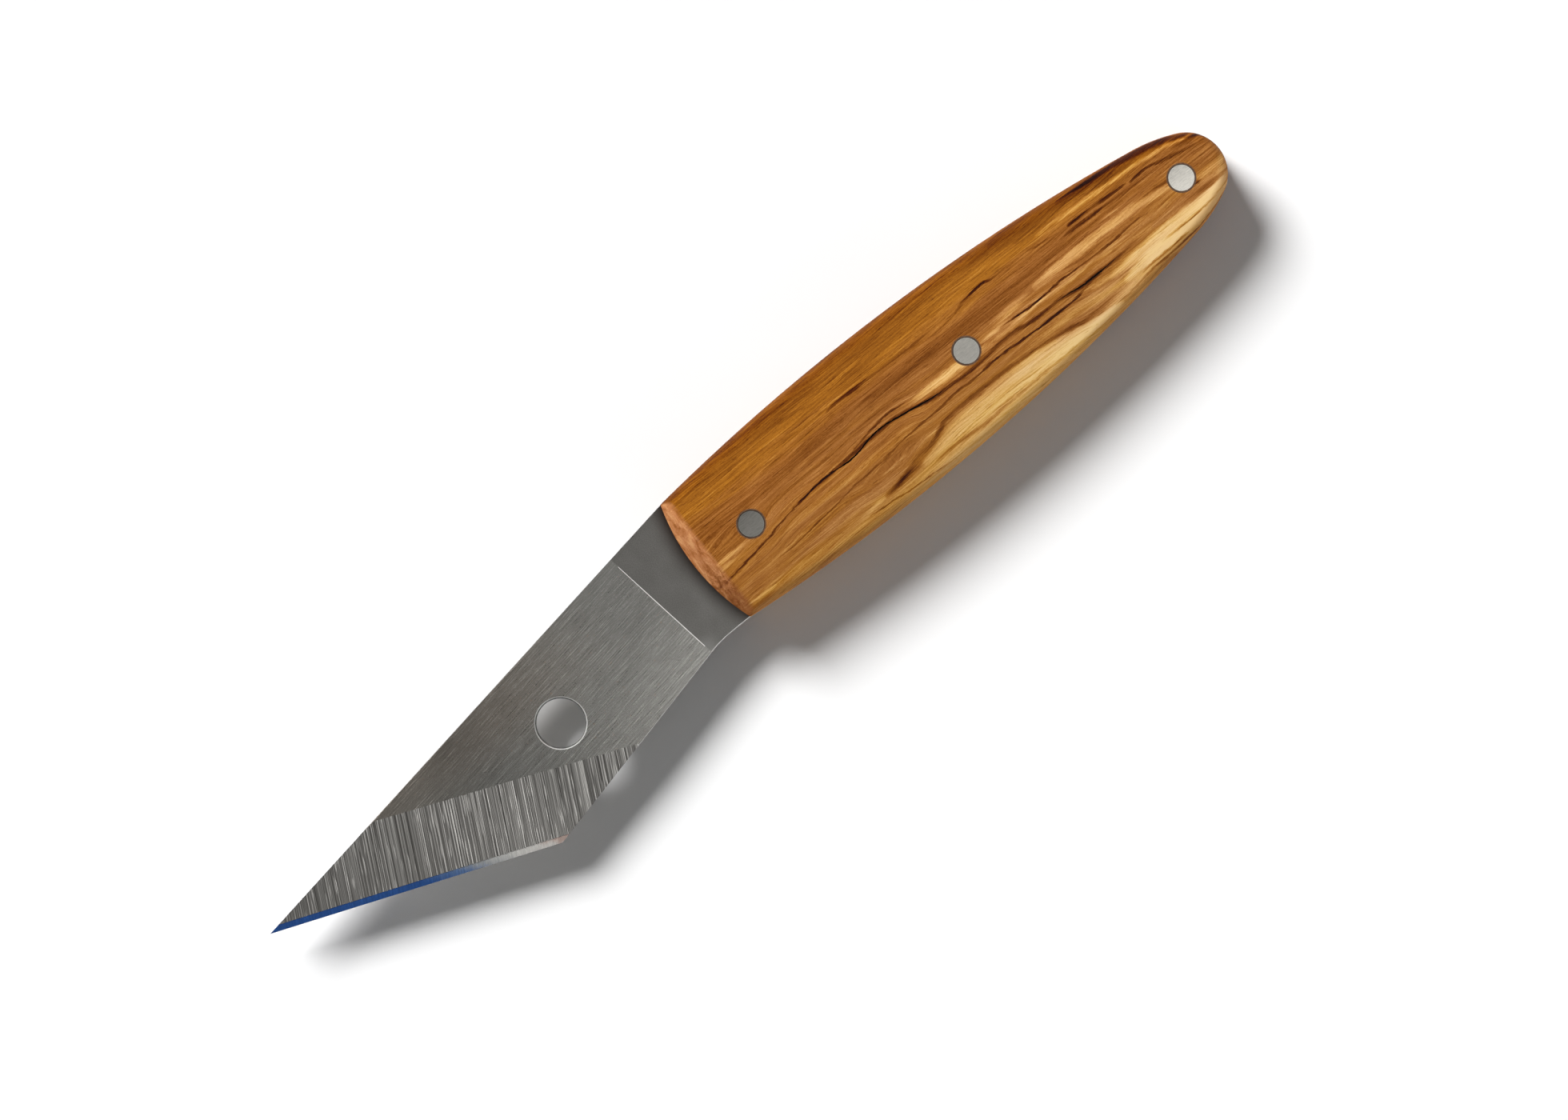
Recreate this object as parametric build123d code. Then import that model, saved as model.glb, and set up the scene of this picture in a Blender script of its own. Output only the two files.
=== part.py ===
"""Chip carving knife: a full-tang skew blade between two bonded and pinned wooden scales.

The knife lies on its right side. It is laid out round the front pin, with X towards the
butt, Y towards the spine, Z out of the left side and Z = 0 in the blade's mid-plane. Every
piece is then moved, so that the origin is under the middle of the knife's plan outline, on
the surface that it lies on. All sizes are in millimetres and all angles in degrees.
"""

import os
from math import asin, atan2, cos, degrees, radians, sin, tan

from build123d import *

# Blade outline, in the layout frame
STOCK = 2.4  # thickness of the steel
TIP = Vector(-91.9, -2.6)
HEEL = Vector(-50.4, -18.9)  # rear end of the cutting edge
BELLY_ANGLE = 13.1  # between the belly and the neck
NECK_RADIUS = 20.0  # of the bend between them
EDGE_BREAK = 0.15  # chamfer along the spine and the belly

# Flat grind on each side, ahead of a step that is square to the spine
PLUNGE = 73.6  # from the tip to the step, along the spine
GRIND_AT_SPINE = 0.02  # depth taken off each side
GRIND_AT_BELLY = 0.08
GRIND_SPAN = 20.0  # distance over which the depth grows from one to the other

# Main bevel and micro bevel, on both sides of the cutting edge
BEVEL_WIDTH = 10.7
BEVEL_HALF_THICKNESS = 1.15  # of the blade at BEVEL_WIDTH from the edge
MICRO_WIDTH = 1.0
MICRO_HALF_THICKNESS = 0.27

# Hanging hole
HOLE = Vector(-39.7, -5.2)
HOLE_RADIUS = 3.6
HOLE_CHAMFER = 0.3

# Handle outline: three arcs down each side, tangent to each other, and a bowed front
HANDLE_HALF_WIDTH = 12.15
HANDLE_WIDEST = 24.0  # from the front pin
HANDLE_FRONT = -8.5  # the front corners
FRONT_BOW = 1.75  # how far the front face bows out ahead of its corners
SIDE_RADIUS = 310.0
SIDE_TURN = 9.84  # from the widest place to the shoulder arc
SHOULDER_RADIUS = 25.0
SHOULDER_TURN = 16.1  # from there to the butt arc

# Handle section
CROWN_HEIGHT = 7.55  # from the mid-plane, at the widest place
CROWN_RADIUS = 38.0  # across the handle
CROWN_LENGTH_RADIUS = 1300.0  # along the handle
LAND_HEIGHT = 7.35  # a long flat along the middle of each crown
ROUND_OVER = 1.6  # between the crown and the side
FACET_START = 4.5  # height at which the front end starts to slope back at 45 degrees
GLUE = 0.1  # thickness of each layer of adhesive

# Pins
PIN_RADIUS = 2.0
PIN_PITCH = 40.0
PIN_NAMES = ("front_pin", "middle_pin", "rear_pin")
TANG_HOLE_RADIUS = 2.05
SCALE_HOLE_RADIUS = 2.2

HALF_STOCK = STOCK / 2
GLUE_TOP = HALF_STOCK + GLUE
PIN_PLACES = [Pos(i * PIN_PITCH, 0, 0) for i in range(len(PIN_NAMES))]
MARGIN = 4.0  # how far a cutting solid runs past what it cuts

# Places on the handle's outline that follow from the sizes above
FRONT_TURN = degrees(asin((HANDLE_WIDEST - HANDLE_FRONT) / SIDE_RADIUS))
FRONT_TANGENT = Vector(1, 0).rotate(Axis.Z, FRONT_TURN)
CORNER_Y = HANDLE_HALF_WIDTH - SIDE_RADIUS * (1 - cos(radians(FRONT_TURN)))
UPPER_CORNER = Vector(HANDLE_FRONT, CORNER_Y)
LOWER_CORNER = Vector(HANDLE_FRONT, -CORNER_Y)
FRONT_RADIUS = (CORNER_Y**2 + FRONT_BOW**2) / (2 * FRONT_BOW)


def mirrored(place):
    return Vector(place.X, -place.Y)


def handle_rim():
    """The outline's edges from the lower front corner, round the butt, to the upper one."""
    side = JernArc(UPPER_CORNER, FRONT_TANGENT, SIDE_RADIUS, -FRONT_TURN - SIDE_TURN)
    shoulder = JernArc(side @ 1, side % 1, SHOULDER_RADIUS, -SHOULDER_TURN)
    butt = TangentArc(shoulder @ 1, mirrored(shoulder @ 1), tangent=shoulder % 1)
    return [side, shoulder, butt, mirror(shoulder, Plane.XZ), mirror(side, Plane.XZ)]


def handle_face():
    """The handle's plan outline, which the tang, the glue and the scales share."""
    front = ThreePointArc(LOWER_CORNER, (HANDLE_FRONT - FRONT_BOW, 0), UPPER_CORNER)
    return make_face([*handle_rim(), front])


def overlong_face():
    """The same outline with its sides run on ahead to a straight end."""
    upper = UPPER_CORNER - FRONT_TANGENT * (2 * MARGIN)
    end = Polyline(UPPER_CORNER, upper, mirrored(upper), LOWER_CORNER)
    return make_face([*handle_rim(), end])


def slab(face, low, high):
    return extrude(Pos(0, 0, low) * face, high - low)


def prism_along(start, end, section):
    """A prism along the line from start to end. Its section is a list of places (across, up)."""
    run = end - start
    across = Plane(start, x_dir=Vector(-run.Y, run.X), z_dir=run)
    face = across * make_face(Polyline(section, close=True))
    return extrude(face, run.length)


def both_sides(shape):
    return shape + mirror(shape, Plane.XY)


HANDLE_BUTT = handle_face().bounding_box().max.X

# ---- blade

SPINE_RUN = (UPPER_CORNER - TIP).normalized()
EDGE_RUN = (HEEL - TIP).normalized()


def blade_face():
    """The blade's plan outline ahead of the handle, cut straight across at its corners."""
    bend_x = HEEL.X + (LOWER_CORNER.Y - HEEL.Y) / tan(radians(BELLY_ANGLE))
    bend = Vector(bend_x, LOWER_CORNER.Y)
    face = make_face(Polyline(TIP, HEEL, bend, LOWER_CORNER, UPPER_CORNER, close=True))
    corner = face.vertices().sort_by_distance(bend)[0]
    return fillet(corner, NECK_RADIUS)


def bevel_cutter():
    """What the grinding of the main bevels and the micro bevels takes off."""
    slope = (BEVEL_HALF_THICKNESS - MICRO_HALF_THICKNESS) / (BEVEL_WIDTH - MICRO_WIDTH)
    section = [
        (-MICRO_WIDTH, -MICRO_HALF_THICKNESS),
        (MICRO_WIDTH, MICRO_HALF_THICKNESS),
        (BEVEL_WIDTH + MARGIN, BEVEL_HALF_THICKNESS + MARGIN * slope),
        (-MICRO_WIDTH, BEVEL_HALF_THICKNESS + MARGIN * slope),
    ]
    overrun = EDGE_RUN * (3 * MARGIN)
    return both_sides(prism_along(TIP - overrun, HEEL + overrun, section))


def flat_grind_cutter():
    """What the flat grinding takes off, ahead of its step."""
    growth = (GRIND_AT_BELLY - GRIND_AT_SPINE) / GRIND_SPAN
    far = GRIND_SPAN + 2 * MARGIN
    section = [
        (MARGIN, HALF_STOCK - GRIND_AT_SPINE + MARGIN * growth),
        (-far, HALF_STOCK - GRIND_AT_SPINE - far * growth),
        (-far, STOCK),
        (MARGIN, STOCK),
    ]
    return both_sides(prism_along(TIP - SPINE_RUN * MARGIN, TIP + SPINE_RUN * PLUNGE, section))


def hole_cutter():
    """The hanging hole and the chamfer round each of its mouths."""
    ground = HALF_STOCK - (GRIND_AT_SPINE + GRIND_AT_BELLY) / 2
    flare = Pos(0, 0, ground - HOLE_CHAMFER + MARGIN / 2) * Cone(
        HOLE_RADIUS, HOLE_RADIUS + MARGIN, MARGIN
    )
    return Pos(HOLE) * (Cylinder(HOLE_RADIUS, 2 * STOCK) + both_sides(flare))


def blade():
    """The blade with its full-length, full-width tang."""
    front = slab(blade_face(), -HALF_STOCK, HALF_STOCK)
    rims = [
        edge
        for edge in front.edges()
        if abs((edge @ 0.5).Z) > HALF_STOCK / 2
        and (edge @ 0.5).X < HANDLE_FRONT - EDGE_BREAK
        and abs(edge.tangent_at(0.5).cross(EDGE_RUN).Z) > EDGE_BREAK
    ]
    front = chamfer(rims, EDGE_BREAK)
    front -= flat_grind_cutter()
    front -= bevel_cutter()
    front -= hole_cutter()
    whole = front + slab(handle_face(), -HALF_STOCK, HALF_STOCK)
    for place in PIN_PLACES:
        whole -= place * Cylinder(TANG_HOLE_RADIUS, 2 * STOCK)
    return whole


# ---- handle


def crown_barrel():
    """A barrel along the handle, whose upper wall is the crown."""
    axis_height = CROWN_HEIGHT - CROWN_RADIUS
    ahead = HANDLE_FRONT - 3 * MARGIN
    behind = HANDLE_BUTT + MARGIN

    def crown(x):
        drop = CROWN_LENGTH_RADIUS * (1 - cos(asin((x - HANDLE_WIDEST) / CROWN_LENGTH_RADIUS)))
        return Vector(x, 0, CROWN_HEIGHT - drop)

    top = ThreePointArc(crown(ahead), crown(HANDLE_WIDEST), crown(behind))
    rest = Polyline(top @ 1, (behind, 0, axis_height), (ahead, 0, axis_height), top @ 0)
    return revolve(make_face([top, rest]), Axis((0, 0, axis_height), (1, 0, 0)))


def front_cutter():
    """A ring sector that shapes the bowed front face and the facet above it."""
    rise = CROWN_HEIGHT - FACET_START + MARGIN
    section = [
        (FRONT_RADIUS, -MARGIN),
        (FRONT_RADIUS, FACET_START),
        (FRONT_RADIUS - rise, FACET_START + rise),
        (FRONT_RADIUS + 4 * MARGIN, FACET_START + rise),
        (FRONT_RADIUS + 4 * MARGIN, -MARGIN),
    ]
    half_sector = degrees(atan2(HANDLE_HALF_WIDTH + MARGIN, FRONT_RADIUS))
    ahead = Vector(-1, 0).rotate(Axis.Z, -half_sector)
    upright = Plane((0, 0, 0), x_dir=ahead, z_dir=ahead.cross(Vector(0, 0, 1)))
    cutter = revolve(upright * make_face(Polyline(section, close=True)), Axis.Z, 2 * half_sector)
    return Pos(HANDLE_FRONT - FRONT_BOW + FRONT_RADIUS, 0, 0) * cutter


def handle_half():
    """Everything inside the left half of the finished handle."""
    half = slab(overlong_face(), 0, LAND_HEIGHT) & crown_barrel()
    rims = [
        edge
        for edge in half.edges()
        if LAND_HEIGHT / 2 < (edge @ 0.5).Z < LAND_HEIGHT - GLUE
        and ((edge @ 0.5).X > HANDLE_WIDEST or abs((edge @ 0.5).Y) > GLUE)
    ]
    return fillet(rims, ROUND_OVER) - front_cutter()


def above(height):
    """All of the handle half that is over a height."""
    return Pos(0, 0, height) * Box(
        3 * HANDLE_BUTT,
        3 * HANDLE_HALF_WIDTH,
        2 * LAND_HEIGHT,
        align=(Align.CENTER, Align.CENTER, Align.MIN),
    )


def left_scale(half):
    scale = half & above(GLUE_TOP)
    for place in PIN_PLACES:
        scale -= place * Cylinder(SCALE_HOLE_RADIUS, 4 * LAND_HEIGHT)
    return scale


def left_glue_line(half):
    """The layer under the scale, with a collar that fills the gap round each pin."""
    glue = slab(handle_face(), HALF_STOCK, GLUE_TOP)
    for place in PIN_PLACES:
        glue += place * Cylinder(SCALE_HOLE_RADIUS, 4 * LAND_HEIGHT) & half & above(HALF_STOCK)
    for place in PIN_PLACES:
        glue -= place * Cylinder(PIN_RADIUS, 4 * LAND_HEIGHT)
    return glue


def pin(half, place):
    """A pin that is rubbed down flush with both crowns."""
    return both_sides(place * Cylinder(PIN_RADIUS, 4 * LAND_HEIGHT) & half)


# ---- assembly

half = handle_half()
nodes = {
    "blade": blade(),
    "left_scale": left_scale(half),
    "left_glue_line": left_glue_line(half),
}
for side_piece in ("scale", "glue_line"):
    nodes["right_" + side_piece] = mirror(nodes["left_" + side_piece], Plane.XY)
for name, place in zip(PIN_NAMES, PIN_PLACES):
    nodes[name] = pin(half, place)

middle_x = (TIP.X + HANDLE_BUTT) / 2
middle_y = (HEEL.Y + HANDLE_HALF_WIDTH) / 2
os.makedirs("parts", exist_ok=True)
for name, shape in nodes.items():
    export_step(Pos(-middle_x, -middle_y, LAND_HEIGHT) * shape, f"parts/{name}.step")
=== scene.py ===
"""Looks of the chip carving knife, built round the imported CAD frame.

Shapes are worked out in millimetres in the knife's own layout: the origin is in the middle of
the front pin, X runs to the butt, Y to the spine and Z out of the left side. finish_piece()
turns them into the row's metres. The scales, the pins and the blade are replaced by finer
meshes of the same shapes, with real cracks in the wood and real grinding marks on the bevels.
"""

from functools import partial, reduce
from math import atan2, cos, pi, radians, sin, sqrt, tan

import bmesh
import bpy
import numpy as np
from mathutils import Matrix, Vector


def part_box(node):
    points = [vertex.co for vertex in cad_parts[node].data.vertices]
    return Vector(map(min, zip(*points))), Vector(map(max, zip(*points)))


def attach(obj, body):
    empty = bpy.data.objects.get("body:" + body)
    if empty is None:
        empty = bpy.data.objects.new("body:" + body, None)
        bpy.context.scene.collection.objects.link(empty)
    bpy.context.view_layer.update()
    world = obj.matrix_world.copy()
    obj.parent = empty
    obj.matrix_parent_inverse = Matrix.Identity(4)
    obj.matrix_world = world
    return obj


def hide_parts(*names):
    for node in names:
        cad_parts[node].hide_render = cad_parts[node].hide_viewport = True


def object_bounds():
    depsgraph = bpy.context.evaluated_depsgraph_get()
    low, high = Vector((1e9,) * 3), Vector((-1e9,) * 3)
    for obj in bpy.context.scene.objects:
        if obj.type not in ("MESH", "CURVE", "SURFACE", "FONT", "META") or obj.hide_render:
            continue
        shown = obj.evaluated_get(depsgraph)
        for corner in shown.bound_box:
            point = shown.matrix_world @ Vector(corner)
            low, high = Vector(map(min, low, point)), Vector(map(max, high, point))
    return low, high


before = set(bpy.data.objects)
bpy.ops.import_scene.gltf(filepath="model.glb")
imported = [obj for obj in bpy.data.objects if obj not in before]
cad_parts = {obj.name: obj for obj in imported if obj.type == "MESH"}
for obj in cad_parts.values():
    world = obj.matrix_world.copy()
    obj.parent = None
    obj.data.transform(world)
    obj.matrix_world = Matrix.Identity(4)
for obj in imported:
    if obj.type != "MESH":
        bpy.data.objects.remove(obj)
cad_low, cad_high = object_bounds()
MM = 0.001


def centre(node):
    """The middle of a node's box."""
    low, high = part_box(node)
    return (low + high) / 2


# ---- layout, taken from the frame

front_pin = centre("front_pin")
ORIGIN = Vector((front_pin.x, front_pin.y, centre("blade").z))
PIN_XS = [(centre(n).x - ORIGIN.x) / MM for n in ("front_pin", "middle_pin", "rear_pin")]
pin_low, pin_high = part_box("front_pin")
PIN_RADIUS = (pin_high.x - pin_low.x) / 2 / MM
scale_low, scale_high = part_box("left_scale")
FRONT = (scale_low.x - ORIGIN.x) / MM  # the middle of the bowed front face
BUTT = (scale_high.x - ORIGIN.x) / MM
HALF_WIDTH = (scale_high.y - ORIGIN.y) / MM
GLUE_TOP = (scale_low.z - ORIGIN.z) / MM
LAND = (scale_high.z - ORIGIN.z) / MM
blade_low, blade_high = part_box("blade")
HALF_STOCK = (blade_high.z - ORIGIN.z) / MM
TIP_X = (blade_low.x - ORIGIN.x) / MM
HEEL_Y = (blade_low.y - ORIGIN.y) / MM

# Shapes that the boxes don't give: the same sizes as the CAD's
SIDE_RADIUS = 310.0
SIDE_TURN = radians(9.84)
SHOULDER_RADIUS = 25.0
SHOULDER_TURN = radians(16.1)
WIDEST = 24.0
CORNER_X = FRONT + 1.75
CROWN_RADIUS = 38.0
CROWN_LENGTH_RADIUS = 1300.0
CROWN_HEIGHT = 7.55
ROUND_OVER = 1.6
FACET_START = 4.5
COLLAR_RADIUS = 2.2
TIP = Vector((TIP_X, -2.6))
HEEL = Vector((-50.4, HEEL_Y))
SPINE_END = Vector((CORNER_X, 10.44))
PLUNGE = 73.6
HOLE = Vector((-39.7, -5.2))
HOLE_RADIUS = 3.6
BEVEL_WIDTH = 10.7
BEVEL_HALF = 1.15
MICRO_WIDTH = 1.0
MICRO_HALF = 0.27
LAND_BLEND = 0.06  # how softly the crown runs into its flat land
FACET_BLEND = 0.9  # how softly the front facet runs into the crown

SPINE_RUN = (SPINE_END - TIP).normalized()
EDGE_RUN = (HEEL - TIP).normalized()
EDGE_LENGTH = (HEEL - TIP).length
FROM_EDGE = Vector((-EDGE_RUN.y, EDGE_RUN.x))  # square to the edge, into the blade
SPINE_TURN = atan2(SPINE_RUN.y, SPINE_RUN.x)
EDGE_TURN = atan2(EDGE_RUN.y, EDGE_RUN.x)
MARKS_LEAN = radians(6.1)  # of the grinding marks from square to the edge
MARKS_TURN = EDGE_TURN + pi / 2 - MARKS_LEAN

TOP_LIGHT = 1.12  # how much a level white surface sends back under the studio's light
WOOD_GLOSS = 0.015  # what the wood's own shine adds to its colour


# ---- meshes


def new_object(name, data):
    """An object in the scene, for a mesh, a light or a camera."""
    item = bpy.data.objects.new(name, data)
    bpy.context.scene.collection.objects.link(item)
    return item


def mesh_object(name, points, faces, materials):
    """A piece from places in the layout."""
    mesh = bpy.data.meshes.new(name)
    mesh.from_pydata([tuple(p) for p in points], [], faces)
    work = bmesh.new()
    work.from_mesh(mesh)
    bmesh.ops.remove_doubles(work, verts=work.verts, dist=1e-4)
    bmesh.ops.recalc_face_normals(work, faces=work.faces)
    work.to_mesh(mesh)
    work.free()
    for material in materials:
        mesh.materials.append(material)
    return new_object(name, mesh)


def skin(points, count):
    """Faces that join closed sections, which have the same count of points each."""
    faces = []
    for start in range(0, len(points) - count, count):
        for j in range(count):
            after = (j + 1) % count
            faces.append((start + j, start + after, start + count + after, start + count + j))
    return faces


def loft(sections):
    """Places and faces of a solid made of closed sections, with a cap at each end."""
    count = len(sections[0])
    points = [place for section in sections for place in section]
    caps = [list(range(count)), list(range(len(points) - count, len(points)))]
    return points, skin(points, count) + caps


def cut(piece, cutter):
    """Takes the cutter's volume out of the piece. The cut faces keep the cutter's materials."""
    modifier = piece.modifiers.new("cut", "BOOLEAN")
    modifier.object = cutter
    modifier.operation = "DIFFERENCE"
    modifier.solver = "EXACT"
    modifier.material_mode = "TRANSFER"
    graph = bpy.context.evaluated_depsgraph_get()
    result = bpy.data.meshes.new_from_object(piece.evaluated_get(graph))
    piece.modifiers.clear()
    piece.data = result
    bpy.data.objects.remove(cutter)


def finish_piece(piece, smooth_angle, replaced):
    """Turns layout millimetres into row metres, shades the piece smooth up to an angle between
    faces and hands it to the frame."""
    piece.data.transform(Matrix.Translation(ORIGIN) @ Matrix.Scale(MM, 4))
    piece.data.shade_smooth()
    piece.data.set_sharp_from_angle(angle=radians(smooth_angle))
    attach(piece, "root")
    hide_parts(replaced)


# ---- the handle's surface

SIDE_CENTRE = np.array([WIDEST, HALF_WIDTH - SIDE_RADIUS])
SHOULDER_CENTRE = SIDE_CENTRE + (SIDE_RADIUS - SHOULDER_RADIUS) * np.array(
    [sin(SIDE_TURN), cos(SIDE_TURN)]
)
BUTT_TURN = SIDE_TURN + SHOULDER_TURN
BUTT_RADIUS = SHOULDER_RADIUS + SHOULDER_CENTRE[1] / cos(BUTT_TURN)
BUTT_CENTRE = np.array([BUTT - BUTT_RADIUS, 0.0])
CORNER_Y = SIDE_CENTRE[1] + sqrt(SIDE_RADIUS**2 - (CORNER_X - WIDEST) ** 2)
BOW = CORNER_X - FRONT
FRONT_RADIUS = (CORNER_Y**2 + BOW**2) / (2 * BOW)


def half_width(x):
    """The handle's half width at a distance from the front pin."""
    side_end = SIDE_CENTRE[0] + SIDE_RADIUS * sin(SIDE_TURN)
    shoulder_end = SHOULDER_CENTRE[0] + SHOULDER_RADIUS * sin(BUTT_TURN)
    if x < side_end:
        middle, radius = SIDE_CENTRE, SIDE_RADIUS
    elif x < shoulder_end:
        middle, radius = SHOULDER_CENTRE, SHOULDER_RADIUS
    else:
        middle, radius = BUTT_CENTRE, BUTT_RADIUS
    return middle[1] + sqrt(max(radius**2 - (x - middle[0]) ** 2, 0))


def inset(x, y):
    """How far inside the handle's side and butt a place is."""
    y = np.abs(y)

    def turn(middle):
        return np.arctan2(x - middle[0], y - middle[1])

    def depth(middle, radius):
        return radius - np.hypot(x - middle[0], y - middle[1])

    butt = depth(BUTT_CENTRE, BUTT_RADIUS)
    shoulder = depth(SHOULDER_CENTRE, SHOULDER_RADIUS)
    side = depth(SIDE_CENTRE, SIDE_RADIUS)
    rear = np.where(turn(SHOULDER_CENTRE) < BUTT_TURN, shoulder, butt)
    return np.maximum(np.where(turn(SIDE_CENTRE) < SIDE_TURN, side, rear), 0)


def soft_min(a, b, width):
    """The lower of two heights, blended over a width."""
    mix = np.clip(0.5 + 0.5 * (b - a) / width, 0, 1)
    return b * (1 - mix) + a * mix - width * mix * (1 - mix)


def top_height(x, y):
    """Height of the left scale's finished surface above the mid-plane."""
    drop = CROWN_LENGTH_RADIUS - np.sqrt(CROWN_LENGTH_RADIUS**2 - (x - WIDEST) ** 2)
    crown = CROWN_HEIGHT - CROWN_RADIUS + np.sqrt((CROWN_RADIUS - drop) ** 2 - y**2)
    edge = np.clip(ROUND_OVER - inset(x, y), 0, ROUND_OVER)
    crown = crown - ROUND_OVER + np.sqrt(ROUND_OVER**2 - edge**2)
    crown = soft_min(crown, LAND, LAND_BLEND)
    back = FRONT_RADIUS - np.hypot(np.minimum(x - FRONT - FRONT_RADIUS, 0), y)
    back = np.where(x < WIDEST, back, LAND)
    return soft_min(crown, FACET_START + back, FACET_BLEND)


def scale_mesh(side):
    """Places and faces of one scale, as cross-sections joined from the front to the butt."""
    fine_end = CORNER_X + 6
    fade_length = 20  # in which the cross-sections go from bowed, like the front, to straight
    stations = np.concatenate([
        np.arange(CORNER_X, fine_end, 0.2),
        np.arange(fine_end, BUTT_CENTRE[0], 0.8),
        BUTT_CENTRE[0] + BUTT_RADIUS * np.sin(np.linspace(0, pi / 2, 25)),
    ])
    across = np.cos(np.linspace(0, pi, 81))
    up_wall = np.linspace(0, 1, 6)[:-1]
    arc = FRONT + FRONT_RADIUS - np.sqrt(FRONT_RADIUS**2 - (CORNER_Y * across) ** 2)
    points = []
    for x in stations:
        y = half_width(x) * across
        fade = max(0, 1 - (x - CORNER_X) / fade_length)
        xs = x - fade * (CORNER_X - arc)
        z = top_height(xs, y)
        near = [(xs[0], y[0], GLUE_TOP + (z[0] - GLUE_TOP) * part) for part in up_wall]
        far = [(xs[-1], y[-1], GLUE_TOP + (z[-1] - GLUE_TOP) * part) for part in up_wall[::-1]]
        points += near + list(zip(xs, y, z)) + far
    count = len(points) // len(stations)
    faces = skin(points, count)
    del faces[count - 1]  # add_front_face() makes the foremost face of the underside
    add_front_face(points, faces, count)
    return [(x, y, side * z) for x, y, z in points], faces


def add_front_face(points, faces, count):
    """Closes the first cross-section with an upright face and joins it to the underside."""
    levels = 4
    above = list(range(count))
    for level in range(1, levels + 1):
        row = []
        for x, y, z in points[:count]:
            row.append(len(points))
            points.append((x, y, z + (GLUE_TOP - z) * level / levels))
        for j in range(count - 1):
            faces.append((above[j], row[j], row[j + 1], above[j + 1]))
        above = row
    faces.append([*above, 2 * count - 1, count])


def pin_drill(x, material):
    """An upright cylinder that cuts the hole for a pin and its collar of glue."""
    count, reach = 96, 20
    turns = np.linspace(0, 2 * pi, count, endpoint=False)
    ring = [(x + COLLAR_RADIUS * cos(a), COLLAR_RADIUS * sin(a)) for a in turns]
    points, faces = loft([[(px, py, z) for px, py in ring] for z in (-reach, reach)])
    return mesh_object("drill", points, faces, [material])


# ---- the wood's figure, in the layout

# Open stretches of the cracks: place along the handle, place across it, width, depth
CRACKS_LEFT = [
    [(12.5, -1.5, 0.06, 0.05), (14.0, -1.58, 0.16, 0.3), (16.5, -1.85, 0.3, 0.6),
     (18.5, -1.7, 0.28, 0.6), (20.5, -1.2, 0.32, 0.6), (22.5, -0.95, 0.3, 0.7),
     (24.0, -1.0, 0.32, 0.7), (26.0, -1.3, 0.32, 0.7), (28.0, -1.6, 0.34, 0.7),
     (30.0, -1.95, 0.36, 0.6), (31.5, -2.2, 0.3, 0.4), (34.0, -2.45, 0.05, 0.05)],
    [(54.5, -2.65, 0.05, 0.05), (57.0, -2.9, 0.22, 0.4), (59.0, -3.25, 0.4, 0.5),
     (62.0, -3.25, 0.38, 0.5), (64.0, -3.18, 0.14, 0.2), (65.5, -3.15, 0.05, 0.05)],
]
CRACKS_RIGHT = [
    [(20.0, 2.2, 0.05, 0.05), (26.0, 2.5, 0.2, 0.3), (32.0, 3.1, 0.3, 0.5), (37.0, 3.0, 0.24, 0.4),
     (44.0, 3.4, 0.05, 0.05)],
]

# Tone and pinkness of the wood from the belly to the spine: place across, value. The tone's fall
# from the pale belly side to the darker spine side is partly the wood's and partly painted light.
TONE_AND_PAINTED_LIGHT = [
    (-12.2, 0.65), (-11.0, 0.65), (-10.0, 0.62), (-9.0, 0.57), (-8.0, 0.52), (-6.5, 0.5),
    (-4.5, 0.5), (-3.0, 0.5), (-1.5, 0.47), (0.0, 0.45), (1.5, 0.43), (3.0, 0.39), (4.5, 0.42),
    (6.0, 0.44), (7.5, 0.43), (9.0, 0.4), (10.5, 0.35), (12.2, 0.33),
]
PINK = [
    (-12.2, 0.3), (-10.0, 0.3), (-8.0, 0.5), (-6.0, 0.65), (-3.0, 0.65), (0.0, 0.8), (2.0, 0.95),
    (3.5, 0.95), (5.0, 0.5), (6.5, 0.1), (9.0, -0.3), (12.2, -0.5),
]

# The handle's half width along it, for the painted light near the belly rim and the painted shade
# near the spine rim
WIDTHS = [
    (CORNER_X, 10.44), (0, 11.25), (12, 11.92), (24, 12.15), (38, 11.83), (52, 10.9), (64, 9.55),
    (77, 7.57), (81, 6.5), (83.6, 5.45), (85.5, 4.0), (86.6, 2.3), (BUTT, 0.0),
]

# How far the fibres run off straight, along the crack and along the belly side: place along,
# distance
FLOW_CRACK = [
    (-11, -1.9), (0, -0.9), (8, 0.2), (14.5, 0.3), (23.5, 1.0), (27, 0.7), (31, 0), (38, -0.2),
    (46, 0.1), (55, -0.3), (65, -0.8), (88, -0.6),
]
FLOW_BELLY = [
    (-11, -0.3), (10, 0.1), (20, -0.3), (25, 0.0), (30, 0.5), (38, 0.9), (46, 0.7), (55, 0.1),
    (61, -0.4), (70, 0.2), (80, 0.7), (88, 1.4),
]

STREAK_FADE = (0.2, 1.2)  # parts of a streak's half size between which it fades out
BAND_REACH = 1.15  # where a band has faded out, in its half widths

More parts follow.
